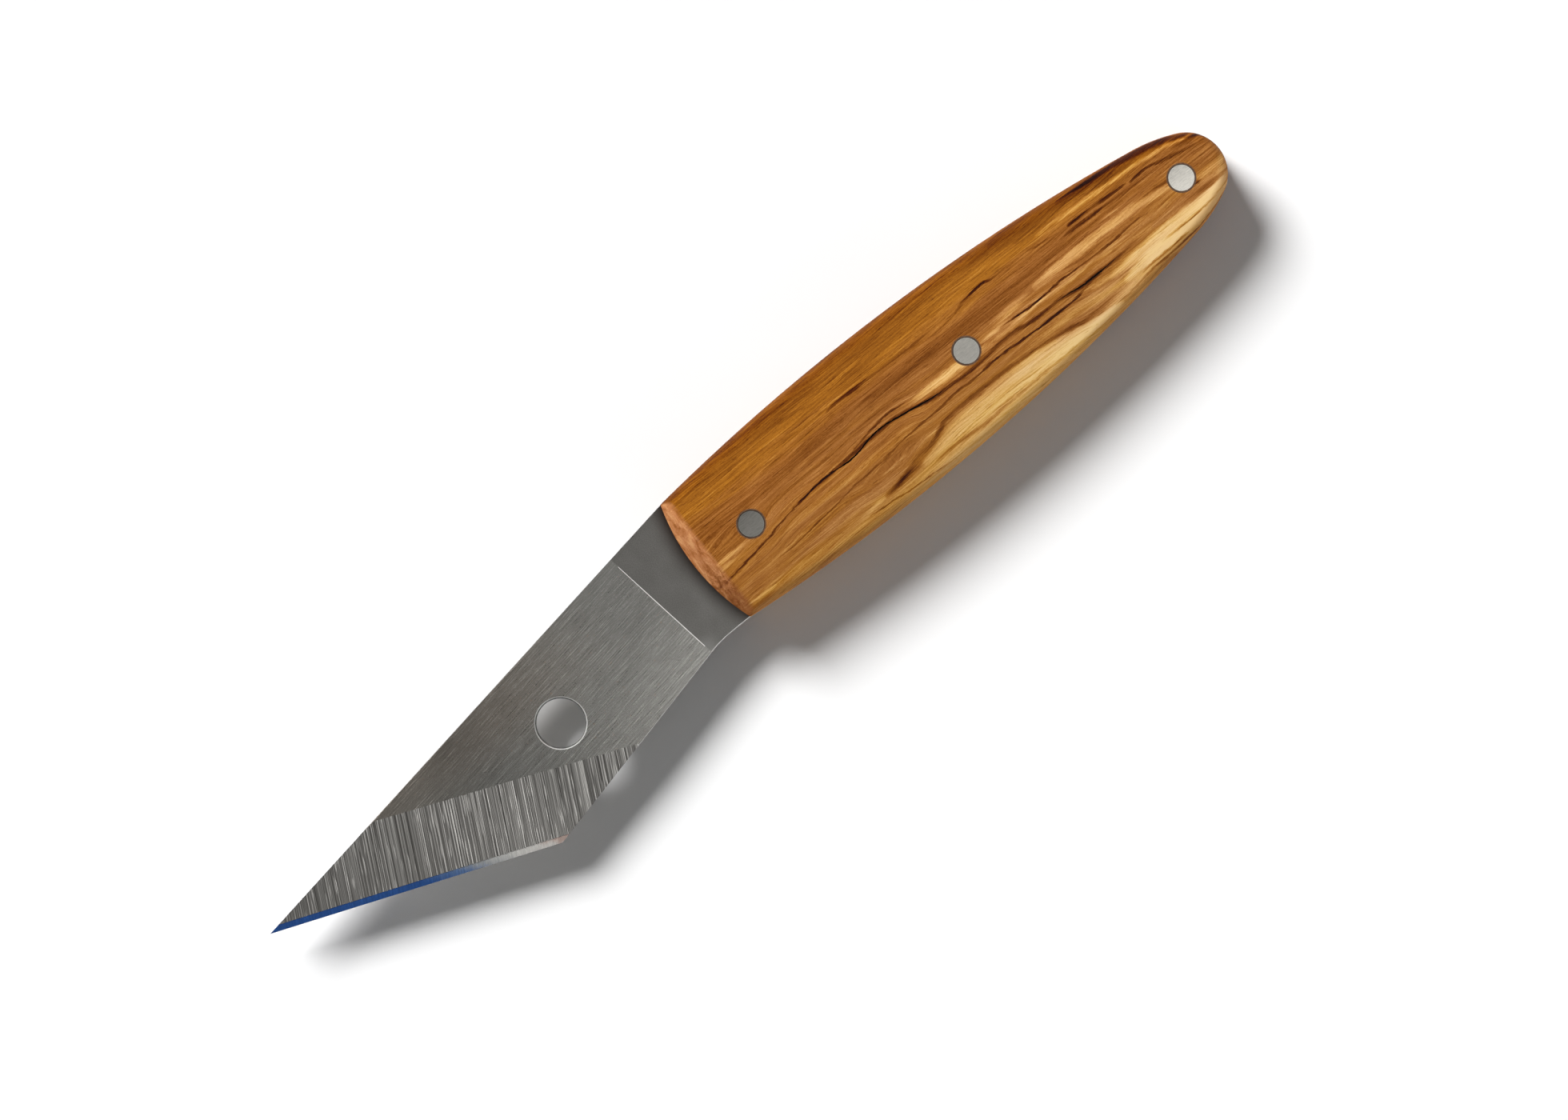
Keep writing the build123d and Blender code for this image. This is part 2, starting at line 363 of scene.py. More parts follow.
# Soft streaks: place along, place across, half length, half width in hundredths, slope in degrees,
# tone in hundredths. A positive tone is paler and a negative one darker.
STREAKS = [
    (47, 2.95, 26, 50, 0, -6), (8, 3, 15, 50, 2, -5), (-5.5, 3.8, 2, 15, 5, -14), (16, 11, 12, 50, 1, -5),
    (36, 10.8, 14, 50, -1, -5), (55, 10.2, 10, 40, -4, -6), (20, 6.45, 4, 25, -2, 10),
    (12, 7.6, 5, 30, 1, 5), (30, 7.4, 9, 25, 1, 5), (51, 7.3, 8, 25, 0, 8), (14, 2.25, 12, 25, 3, 9),
    (9, 1, 8, 30, 2, 5), (-5, -1.65, 4.2, 45, 0, 22), (-6.5, -2.5, 2.6, 40, 0, 18),
    (-5, -9.05, 3.2, 30, -3, 20), (15.5, -9.3, 3, 40, 4, 16), (21.5, -6.4, 3, 30, 4, 14),
    (2, -5.95, 6, 25, 4, 10), (12, -3.9, 12, 50, 4, 5), (27, -3.2, 5, 50, 0, 6),
    (22, -8.85, 3.4, 55, 6, -26), (46, 0.1, 5, 35, 0, 13), (44.5, -0.35, 3.6, 35, 1, 22),
    (47, -1.35, 6, 35, -1, 14), (49, 0.75, 4, 70, 0, 20), (52.5, -1.15, 6, 22, 0, 22),
    (58, -1.45, 5, 30, 0, 20), (64, -1.5, 6, 40, -1, 12), (55, 1.4, 4, 50, 0, 12),
    (68.5, 2.4, 2, 35, -4, 16), (64, -0.25, 6, 30, -1, -7), (74, -0.4, 6, 40, 0, -4),
    (72, -2.3, 8, 50, -1, -4), (67, -3.1, 4, 30, 0, -5), (62, -6.3, 6, 100, -3, 17),
    (55, -5.3, 8, 70, 0, 13), (34, -5.55, 4, 30, 1, -5), (31, -6.4, 7, 90, 0, 9), (45, -5, 12, 50, 0, -5),
    (65, -7.6, 6, 70, 3, 12), (84, -1.8, 3, 90, 5, 16), (71, -1.6, 10, 220, 0, 9), (79, -6, 5, 80, 8, 20),
    (62, -4.9, 5, 50, 0, 8), (18, 1.4, 8, 50, 3, 6), (80, 1.9, 4, 50, 0, 8), (80, -1, 5, 70, -8, 10),
    (73, -3.7, 6, 40, 2, 14), (83.5, 1.2, 3, 35, 0, 8), (81.4, -1.95, 0.8, 25, 0, -32),
    (60, 8.4, 14, 160, -3, -12), (71, 7.3, 7, 100, -6, -12), (47, 6.2, 5, 50, 0, -6),
    (6, 9.3, 10, 80, 1, -6), (46, -7.4, 6, 60, 0, 8), (33, -8.9, 5, 12, 2, -20),
    (44, -8.6, 6, 11, -1, -20), (50, -7.3, 5, 10, -3, -16), (38, -7, 5, 10, 3, -16),
    (56, -8.9, 4, 10, -2, -16), (41, -9.3, 5, 12, 1, -18), (72, -4.1, 5, 12, 0, -18),
    (76, -6.6, 4, 12, 6, -16), (68, -5.6, 4, 10, 0, -16), (84, 3.9, 3, 30, -10, -10),
    (72, 3.5, 5, 30, -2, -10), (61, 5.9, 5, 25, -4, 10), (64, 7.1, 4, 20, -4, 9),
    (30, -11.5, 12, 30, 0, 8), (46, -11.1, 8, 25, 3, 8), (41, -10.8, 4, 15, 0, -14),
    (4, -10.4, 9, 30, -2, 6), (58, -9.45, 4, 18, 3, -14),
]

# Wavy bands and lines: softness of the edge, then place along, place across, and half width and
# tone in hundredths
BANDS = [
    # dark streaks on the spine side
    (0.8, [(18.5, 5.8, 10, 0), (20.5, 6, 30, -24), (22.5, 5.95, 34, -30), (25, 5.85, 26, -20),
        (28, 5.6, 18, -10), (33, 5.55, 18, -14), (37.5, 5.55, 16, 0)]),
    (0.8, [(39, 4.8, 20, 0), (42, 5.3, 30, -10), (45, 6, 28, -24), (47.5, 6.25, 32, -34),
        (49.5, 5.85, 24, -20), (52, 5.75, 20, -14), (55, 5.8, 16, -10), (58.5, 5.35, 16, -16),
        (61, 5.1, 10, 0)]),
    (0.7, [(62.6, 4.8, 10, 0), (63.8, 4.9, 28, -32), (65.5, 4.85, 28, -26), (67.5, 4.7, 30, -12),
        (69, 4.65, 30, -26), (71.5, 4.5, 26, -28), (73.3, 4.4, 10, 0)]),
    (0.8, [(60.5, 4, 10, 0), (63, 4.05, 24, -20), (66, 3.95, 30, -22), (68.5, 3.85, 10, 0)]),
    (0.7, [(73.6, 4.1, 10, 0), (75, 4.3, 30, -30), (77, 4.3, 24, -26), (79, 3.8, 30, -20),
        (82, 3.1, 30, -18), (85, 2.6, 20, 0)]),
    # dark rim on the spine side of the butt, and the gold band under it
    (0.8, [(63.5, 8.7, 10, 0), (66, 8.5, 24, -16), (69, 8.1, 34, -20), (73, 7.8, 60, -22),
        (77, 7.1, 80, -26), (81, 6.1, 80, -28), (84, 4.7, 60, -18), (87, 2.5, 40, -8)]),
    (0.9, [(58, 6.7, 20, 0), (62, 6.55, 40, 18), (66, 6.35, 50, 20), (71, 6, 45, 20), (76, 5.65, 40, 20),
        (80, 5.15, 40, 24), (84, 4.3, 30, 10)]),
    # cream bands in the middle
    (0.8, [(28, -0.8, 20, 0), (31, -0.85, 50, 24), (34, -0.9, 75, 34), (38.5, -1, 80, 36),
        (41, -1.1, 50, 20), (43, -1.1, 20, 0)]),
    (0.8, [(53, 0.9, 40, 0), (56, 1.05, 80, 24), (60, 1.2, 95, 30), (66, 1.05, 90, 28),
        (72, 0.85, 80, 24), (77, 0.3, 60, 24), (80, -0.3, 30, 0)]),
    # thin dark lines in the middle
    (0.7, [(18, -0.95, 10, 0), (20, -0.6, 16, -22), (23, -0.15, 20, -26), (25.5, 0.1, 22, -34),
        (27, -0.1, 18, -26), (29, -0.3, 10, 0)]),
    (0.6, [(45, -0.4, 10, 0), (47.5, -0.6, 14, -26), (50, -0.75, 18, -48), (53, -0.85, 18, -46),
        (56, -0.7, 16, -36), (59, -0.7, 16, -26), (63, -0.9, 16, -20), (66.5, -1, 20, -32),
        (69.5, -0.7, 16, -24), (74, -0.8, 10, 0)]),
    # stain along the crack
    (0.6, [(-8.8, -4.45, 16, -30), (-5, -4, 17, -30), (0, -3.25, 16, -28), (5, -2.3, 15, -28),
        (8, -1.9, 17, -34), (12, -1.5, 18, -40), (15, -1.65, 10, 0)]),
    (0.9, [(6, -2.1, 30, 0), (14, -1.6, 34, -20), (20, -1.25, 40, -30), (25, -1.15, 42, -26),
        (30, -1.95, 42, -26), (34, -2.5, 42, -30), (38, -2.6, 45, -30), (42, -2.4, 40, -28),
        (46, -2.2, 40, -28), (51, -2.7, 42, -32), (55, -2.7, 36, -26), (59, -3.2, 50, -34),
        (63, -3.2, 40, -28), (67, -3.1, 30, -12), (71, -2.9, 20, 0)]),
    (0.6, [(-0.5, -6.5, 10, 0), (5, -6.15, 13, -14), (10, -5.7, 15, -18), (15, -5.15, 16, -18),
        (20, -4.85, 16, -16), (25, -4.35, 16, -20), (30, -4.1, 20, -24), (35, -3.85, 20, -24),
        (39, -3.8, 20, -30), (43, -3.65, 20, -36), (47, -3.85, 20, -38), (52, -4.05, 20, -40),
        (56, -4.1, 20, -36), (59, -3.8, 16, -20), (61, -3.5, 10, 0)]),
    # soft contour over the lens on the belly side
    (0.9, [(17.5, -9.2, 30, 0), (20.5, -8.8, 50, -22), (24, -7.95, 40, -18), (28, -7.2, 40, -18),
        (30, -6.5, 50, -30), (31.5, -6, 40, -28), (34, -5.85, 36, -16), (38, -5.7, 40, -18),
        (45, -5.95, 36, -14), (50, -6.4, 34, -14), (54, -6.95, 42, -22), (57, -7.55, 45, -16),
        (60, -7.6, 45, -6), (63, -8, 40, 0)]),
    # the lens
    (0.6, [(24.5, -9, 40, 0), (28, -8.6, 90, 18), (31, -8.2, 130, 22), (35, -7.95, 170, 28),
        (40, -7.8, 180, 30), (46, -7.8, 170, 36), (51, -8.05, 145, 38), (55, -8.5, 110, 34),
        (59, -8.7, 80, 26), (62.5, -8.9, 40, 0)]),
    (0.9, [(27, -9.7, 20, 0), (31, -9.7, 30, -14), (36, -9.95, 34, -18), (41, -9.75, 30, -18),
        (46, -9.6, 26, -14), (51, -9.45, 20, -14), (56, -9.25, 20, -14), (60, -9.1, 10, 0)]),
    # thin lines near the belly
    (0.7, [(14, -10, 8, 0), (17, -10.2, 13, -28), (21, -10.6, 13, -24), (24, -10.85, 13, -28),
        (27.5, -11.05, 12, -18), (31, -11.1, 8, 0)]),
    (0.7, [(61, -8.5, 10, 0), (63, -8.4, 18, -16), (66, -8.05, 18, -18), (69.5, -7.65, 20, -26),
        (74, -7.5, 18, -30), (78, -7.05, 16, -26), (82, -6.2, 12, -10)]),
    (0.7, [(67, -7.2, 8, 0), (69.5, -6.95, 16, -20), (73, -6.9, 14, -22), (76, -6.8, 8, 0)]),
    # cream lobes and the smudge near the butt
    (0.8, [(62.5, -4.9, 40, 0), (67, -4.85, 100, 32), (72, -4.7, 110, 42), (77, -4.5, 100, 44),
        (81, -4.4, 80, 42), (85.5, -3.6, 40, 24)]),
    (0.7, [(64, -6.5, 30, 0), (68, -6.2, 80, 42), (71, -6.1, 80, 50), (75, -6.1, 65, 44),
        (79, -6, 50, 38), (84, -5, 40, 26)]),
    (0.9, [(71.5, -2.9, 30, 0), (75, -2.8, 40, -4), (79, -2.95, 50, -6), (83, -3.3, 50, -16),
        (86.8, -3.4, 40, -14)]),
    (0.8, [(71.5, -5.5, 10, 0), (74, -5.55, 14, -18), (78, -5.45, 14, -22), (82, -5.1, 10, 0)]),
]

# Reddish patches: softness, then place along, place across, and half width and pinkness in
# hundredths
PATCHES = [
    (1.0, [(1, -7.6, 50, 0), (6, -7.8, 100, 50), (13, -7.7, 120, 80), (19, -7.9, 110, 70),
        (24, -8.3, 60, 0)]),
    (1.0, [(27, 3.2, 150, 0), (35, 3, 240, 40), (48, 2.8, 220, 40), (60, 2.8, 150, 0)]),
    (1.0, [(51, -6.8, 50, 0), (57, -7.2, 120, 80), (63, -7.6, 120, 50), (68, -8.2, 60, 0)]),
    (1.0, [(72, -2.9, 50, 0), (79, -3, 90, 80), (87, -3.4, 90, 60)]),
]


# Fields that follow the fibres: fineness along, across and in depth, detail, roughness, reach.
# The last two also give the wood its roughness and its relief.
GRAIN_FIELDS = [
    ((0.03, 0.5, 1), 3.0, 0.55, 0.14), ((0.05, 1.8, 1), 3.0, 0.6, 0.17),
    ((0.11, 5, 1), 2.0, 0.65, 0.22), ((0.3, 13, 2), 2.0, 0.6, 0.2),
]

# Screen colours of the wood, golden and reddish, from the darkest tone to the palest
WOOD_STOPS = (0.0, 0.15, 0.3, 0.42, 0.52, 0.65, 0.8, 1.0)
WOOD_GOLD = [
    (44, 24, 10), (84, 46, 16), (124, 75, 38), (152, 97, 44), (174, 114, 48), (202, 148, 74),
    (230, 181, 98), (252, 216, 148),
]
WOOD_ROSY = [
    (46, 28, 18), (86, 50, 28), (126, 76, 40), (152, 97, 52), (172, 115, 64), (200, 145, 86),
    (226, 176, 112), (248, 210, 154),
]


def smooth_path(points, step, rng, jitter):
    """A path in short steps, with its line a little off and its width a little uneven."""
    table = np.array(points)
    xs = np.arange(table[0, 0], table[-1, 0], step)
    columns = [np.interp(xs, table[:, 0], column) for column in table[:, 1:].T]
    kernel = np.hanning(max(3, int(1.6 / step))) + 1e-6
    kernel /= kernel.sum()
    pad = len(kernel) // 2
    smooth = [
        np.convolve(np.pad(c, pad, mode="edge"), kernel, mode="same")[pad : pad + len(xs)]
        for c in columns
    ]
    smooth[0] = smooth[0] + rng.normal(0, jitter, len(xs))
    smooth[1] = smooth[1] * rng.uniform(0.75, 1.2, len(xs))
    return xs, smooth


def crack_cutter(path, side, material, rng):
    """A thin wedge that follows a crack, from above the surface to the crack's root."""
    xs, (ys, widths, depths) = smooth_path(path, 0.25, rng, 0.02)
    widths[0] = widths[-1] = 0.02
    sections = []
    for x, y, width, depth, z in zip(xs, ys, widths, depths, top_height(xs, ys)):
        half = 0.42 * width
        root = y + rng.uniform(-0.3, 0.3) * half
        section = [
            (y - half, z + 1), (y + half, z + 1), (y + half, z - 0.02),
            (root + 0.2 * half, z - depth), (root - 0.2 * half, z - depth), (y - half, z - 0.02),
        ]
        sections.append([(x, py, side * pz) for py, pz in section])
    points, faces = loft(sections)
    return mesh_object("crack", points, faces, [material])


# ---- materials


class Tree:
    """Short calls for building the nodes of a new material, or of a world."""

    def __init__(self, name, world=None):
        self.block = world or bpy.data.materials.new(name)
        self.block.use_nodes = True
        self.nodes = self.block.node_tree.nodes
        self.links = self.block.node_tree.links
        self.shader = self.nodes["Background" if world else "Principled BSDF"]

    def add(self, kind, inputs=(), **settings):
        node = self.nodes.new("ShaderNode" + kind)
        for key, value in settings.items():
            setattr(node, key, value)
        for socket, value in dict(inputs).items():
            self.give(node.inputs[socket], value)
        return node

    def give(self, socket, value):
        if isinstance(value, bpy.types.NodeSocket):
            self.links.new(value, socket)
        elif isinstance(value, bpy.types.Node):
            self.links.new(value.outputs[0], socket)
        else:
            socket.default_value = (*value, 1) if socket.type == "RGBA" else value

    def math(self, operation, a, b=0.0):
        return self.add("Math", {0: a, 1: b}, operation=operation).outputs[0]

    def sum(self, *values):
        return reduce(partial(self.math, "ADD"), values)

    def product(self, *values):
        return reduce(partial(self.math, "MULTIPLY"), values)

    def scaled(self, value, factor, offset=0.0):
        """The value times a factor, plus an offset."""
        inputs = {0: value, 1: factor, 2: offset}
        return self.add("Math", inputs, operation="MULTIPLY_ADD").outputs[0]

    def vector(self, operation, a, b=(0, 0, 0)):
        node = self.add("VectorMath", {0: a, 1: b}, operation=operation)
        return node.outputs["Value" if operation in ("LENGTH", "DOT_PRODUCT") else "Vector"]

    def ramp(self, value, low, high, out_low=0.0, out_high=1.0, smooth=True):
        """Maps a value from one range to another, clamped at both ends."""
        kind = "SMOOTHSTEP" if smooth else "LINEAR"
        node = self.add("MapRange", {"Value": value}, interpolation_type=kind)
        ends = {"From Min": low, "From Max": high, "To Min": out_low, "To Max": out_high}
        for name, end in ends.items():
            node.inputs[name].default_value = end
        return node.outputs["Result"]

    def spread(self, value, reach):
        """A noise field moved to either side of zero."""
        return self.ramp(value, 0, 1, -reach, reach, False)

    def parts(self, vector):
        """The X, Y and Z of a vector."""
        return self.add("SeparateXYZ", {0: vector}).outputs

    def noise(self, place, fineness, detail=2.0, roughness=0.5, distortion=0.0):
        """A noise field. The fineness is one number, or one for each axis."""
        if isinstance(fineness, tuple):
            place, fineness = self.vector("MULTIPLY", place, fineness), 1.0
        inputs = {
            "Vector": place, "Scale": fineness, "Detail": detail,
            "Roughness": roughness, "Distortion": distortion,
        }
        return self.add("TexNoise", inputs).outputs["Fac"]

    def mix(self, factor, a, b, blend="MIX"):
        node = self.add("Mix", data_type="RGBA", blend_type=blend)
        for socket, value in (("Factor", factor), (6, a), (7, b)):
            self.give(node.inputs[socket], value)
        return node.outputs[2]

    def tint(self, colour, amount, tint):
        """The colour times a tint, as far as the amount says."""
        return self.mix(amount, colour, self.mix(1.0, colour, tint, "MULTIPLY"))

    def brighten(self, colour, factor):
        """The colour times a field."""
        factors = self.add("CombineXYZ", {axis: factor for axis in "XYZ"})
        return self.vector("MULTIPLY", colour, factors)

    def colours(self, value, stops):
        """A colour ramp from a list of (place, red, green, blue)."""
        node = self.add("ValToRGB", {"Fac": value})
        elements = node.color_ramp.elements
        while len(elements) < len(stops):
            elements.new(0.5)
        for element, (place, *colour) in zip(elements, stops):
            element.position = place
            element.color = (*colour, 1)
        return node.outputs["Color"]

    def bump(self, height, distance, strength=1.0):
        node = self.add("Bump", {"Height": height, "Distance": distance, "Strength": strength})
        return node.outputs["Normal"]

    def layout(self):
        """The shaded place in layout millimetres."""
        place = self.add("TexCoord").outputs["Object"]
        inputs = {0: place, 1: (1 / MM,) * 3, 2: tuple(-c / MM for c in ORIGIN)}
        return self.add("VectorMath", inputs, operation="MULTIPLY_ADD").outputs[0]

    def set(self, **values):
        for name, value in values.items():
            self.give(self.shader.inputs[name.replace("_", " ")], value)


def rgb(red, green, blue):
    """A colour given as 0 to 255 screen values, in linear light."""
    def linear(value):
        value /= 255
        return value / 12.92 if value <= 0.04045 else ((value + 0.055) / 1.055) ** 2.4
    return linear(red), linear(green), linear(blue)


def albedo(red, green, blue):
    """Colour of a matt surface that shows as the given screen values on top of the handle."""
    return tuple(max(c - WOOD_GLOSS, 0.002) / TOP_LIGHT for c in rgb(red, green, blue))


def curve(tree, along, places, values, low, high):
    """A value that follows a curve through given points, from a factor that runs from 0 to 1."""
    node = tree.add("FloatCurve", {"Value": along})
    line = node.mapping.curves[0]
    first, last = places[0], places[-1]
    for index, (place, value) in enumerate(zip(places, values)):
        spot = ((place - first) / (last - first), (value - low) / (high - low))
        if index in (0, len(places) - 1):
            line.points[0 if index == 0 else -1].location = spot
        else:
            line.points.new(*spot)
    node.mapping.update()
    return tree.scaled(node.outputs["Value"], high - low, low)


def profile(tree, value, points):
    """A curve through (place, value) pairs."""
    places, values = zip(*points)
    along = tree.ramp(value, places[0], places[-1], smooth=False)
    return curve(tree, along, places, values, min(values), max(values))


def band(tree, x, y, softness, points):
    """Tone of a wavy band with a given centre line, half width and strength."""
    places, centres, widths, tones = zip(*points)
    widths = [width / 100 for width in widths]
    along = tree.ramp(x, places[0], places[-1], smooth=False)
    middle = curve(tree, along, places, centres, min(centres) - 0.5, max(centres) + 0.5)
    width = curve(tree, along, places, widths, 0, max(widths) * 1.2)
    strongest = max(tones, key=abs)
    tone = curve(tree, along, places, [t / strongest for t in tones], 0, 1)
    off = tree.math("DIVIDE", tree.math("ABSOLUTE", tree.math("SUBTRACT", y, middle)), width)
    near = tree.ramp(off, BAND_REACH - softness, BAND_REACH, strongest / 100, 0)
    return tree.product(near, tone)


def streak_tone(tree, figure, along, middle, length, width, slope, strength):
    """Tone of a soft spindle-shaped streak. The figure's place has a third part of 1."""
    width /= 100
    c, s = cos(radians(slope)), sin(radians(slope))
    run = (c / length, s / length, -(c * along + s * middle) / length)
    off = (-s / width, c / width, (s * along - c * middle) / width)
    run, off = (tree.vector("DOT_PRODUCT", figure, axis) for axis in (run, off))
    square = tree.scaled(off, off, tree.product(run, run))
    return tree.ramp(tree.math("SQRT", square), *STREAK_FADE, strength / 100, 0)


def wood_material(name, turned, seed):
    """Oiled olive wood: fibres, listed streaks and bands, pores, and end grain in front.

    A turned scale shows the same figure from the other end."""
    tree = Tree(name)
    place = tree.layout()
    x, y, z = tree.parts(place)
    rim = tree.math("SUBTRACT", profile(tree, x, WIDTHS), tree.math("ABSOLUTE", y))
    if turned:
        x = tree.scaled(x, -0.9, 74)
    height = tree.math("ABSOLUTE", z)
    outward = tree.ramp(y, -6, 6, -1, 1, False)
    drop = tree.math("MAXIMUM", tree.scaled(height, -1, 5.2), 0)
    across = tree.scaled(tree.product(outward, drop), 0.6, y)

    flat = tree.add("CombineXYZ", {"X": x, "Y": across, "Z": seed}).outputs[0]
    ripple = tree.noise(flat, (0.3, 1.2, 1), 3.0, 0.6)
    ragged = tree.noise(flat, (0.5, 7, 1), 2.0, 0.6)
    figure_y = tree.sum(across, tree.spread(ripple, 0.3), tree.spread(ragged, 0.2))
    figure = tree.add("CombineXYZ", {"X": x, "Y": figure_y, "Z": 1}).outputs[0]
    grain = grain_place(tree, x, y, across, flat, seed)

    # Painted light: the wood is made paler towards the belly rim, which the lamps leave in shade, and
    # less so low on the walls
    painted_belly_light = tree.product(
        tree.ramp(rim, 3.2, 0.4, 0, 0.34), tree.ramp(x, 10, 34), tree.ramp(y, 1, -2),
        tree.ramp(height, 4, 6.5, 0.2, 1),
    )
    # Painted shade: the wood is made a little darker along the spine rim
    painted_spine_shade = tree.product(tree.ramp(rim, 2.4, 0.3), tree.ramp(y, -1, 2))
    level = tree.sum(profile(tree, figure_y, TONE_AND_PAINTED_LIGHT), painted_belly_light, tree.scaled(painted_spine_shade, -0.03))
    for streak in STREAKS:
        level = tree.sum(level, streak_tone(tree, figure, *streak))
    for softness, points in BANDS:
        level = tree.sum(level, band(tree, x, figure_y, softness, points))
    fields = []
    for fineness, detail, roughness, reach in GRAIN_FIELDS:
        fields.append(tree.noise(grain, fineness, detail, roughness))
        level = tree.sum(level, tree.spread(fields[-1], reach))
    fine, fibre = fields[2:]
    pores = tree.ramp(tree.noise(grain, (0.6, 8, 2), 1.0), 0.62, 0.74)
    level = tree.sum(level, tree.product(pores, -0.12))
    dust = tree.noise(grain, (3, 7, 3), 2.0, 0.7)
    level = tree.sum(level, tree.spread(dust, 0.12))

    gold, rosy = (
        tree.colours(level, [(stop, *albedo(*seen)) for stop, seen in zip(WOOD_STOPS, colours)])
        for colours in (WOOD_GOLD, WOOD_ROSY)
    )
    blush = tree.noise(grain, (0.06, 0.8, 1), 2.0)
    rosiness = tree.sum(profile(tree, figure_y, PINK), tree.spread(blush, 0.9))
    for softness, points in PATCHES:
        rosiness = tree.sum(rosiness, band(tree, x, figure_y, softness, points))
    colour = tree.mix(tree.ramp(rosiness, 0, 1, smooth=False), gold, rosy)
    # The painted shade along the spine rim also makes the colour more golden
    colour = tree.tint(colour, painted_spine_shade, (1.0, 0.95, 0.6))
    # More painted light on the belly rim: a warmer tint keeps the paler rim orange in its shade
    edge = tree.product(tree.ramp(rim, 1.8, 0.5), tree.ramp(y, 1, -2))
    colour = tree.tint(colour, edge, (1.0, 0.84, 0.66))
    colour = add_end_grain(tree, place, y, colour)

    rough = tree.ramp(fine, 0.2, 0.8, 0.5, 0.62, False)
    relief = tree.math("SUBTRACT", tree.product(fibre, 0.6), pores)
    normal = tree.bump(relief, 0.00004, 0.6)
    tree.set(Base_Color=colour, Roughness=rough, Normal=normal, Specular_IOR_Level=0.11)
    return tree.block


def grain_place(tree, x, y, across, flat, seed):
    """The shaded place with the fibres made straight, for the fields that run along them."""
    by_crack = tree.product(tree.ramp(y, 3, -1), tree.ramp(y, -7, -4.5))
    by_belly = tree.product(tree.ramp(y, -3.5, -6.5), tree.ramp(y, -12, -8.5))
    flow = tree.product(profile(tree, x, FLOW_CRACK), by_crack)
    flow_belly = tree.product(profile(tree, x, FLOW_BELLY), by_belly)
    wander = tree.noise(flat, (0.06, 0.3, 1), 2.0)
    straight = tree.math("SUBTRACT", across, tree.sum(flow, flow_belly))
    grain_y = tree.sum(straight, tree.spread(wander, 0.7))
    return tree.add("CombineXYZ", {"X": x, "Y": grain_y, "Z": seed}).outputs[0]


def add_end_grain(tree, place, y, colour):
    """End grain on the front face and its facet, darker and stained towards the belly."""
    normal = tree.parts(tree.add("TexCoord").outputs["Normal"])["X"]
    facing = tree.ramp(normal, -0.2, -0.6, 0, 0.8)
    rays = tree.noise(place, (1.3, 0.45, 0.8), 2.0, 0.6, 0.6)
    dots = tree.noise(place, (3, 4, 4), 3.0, 0.7)
    # Painted light: these end-grain colours are made paler to make up for the light that the facet,
    # turned away from the lamps, does not get
    end = tree.colours(tree.sum(rays, tree.spread(dots, 0.2)), [
        (0.3, *albedo(158, 98, 60)), (0.42, *albedo(186, 122, 80)), (0.55, *albedo(204, 140, 96)),
        (0.7, *albedo(226, 168, 116)),
    ])
    burn = tree.noise(place, (1.2, 1.1, 1.0), 3.0, 0.7)
    burn = tree.product(tree.ramp(burn, 0.4, 0.56), tree.ramp(y, 0, -5))
    low_end = tree.math("MAXIMUM", tree.ramp(y, -2, -8, 0, 0.8), burn)
    return tree.mix(facing, colour, tree.tint(end, low_end, (0.45, 0.34, 0.27)))


def crack_material():
    """The dark inside of a crack."""
    tree = Tree("crack_wood")
    place = tree.layout()
    field = tree.noise(place, (0.8, 6, 3), 3.0)
    colour = tree.colours(field, [(0.3, *rgb(44, 26, 15)), (0.7, *rgb(92, 56, 30))])
    tree.set(Base_Color=colour, Roughness=0.9)
    return tree.block


def turned_place(tree, turn):
    """The shaded place in axes that start at the tip and are turned from the layout's."""
    inputs = {"Vector": tree.layout(), "Location": (TIP.x, TIP.y, 0), "Rotation": (0, 0, turn)}
    return tree.add("Mapping", inputs, vector_type="TEXTURE").outputs[0]


def distance_from(tree, x, y):
    """How far the shaded place is from an upright line."""
    off = tree.vector("SUBTRACT", tree.layout(), (x, y, 0))
    return tree.vector("LENGTH", tree.vector("MULTIPLY", off, (1, 1, 0)))


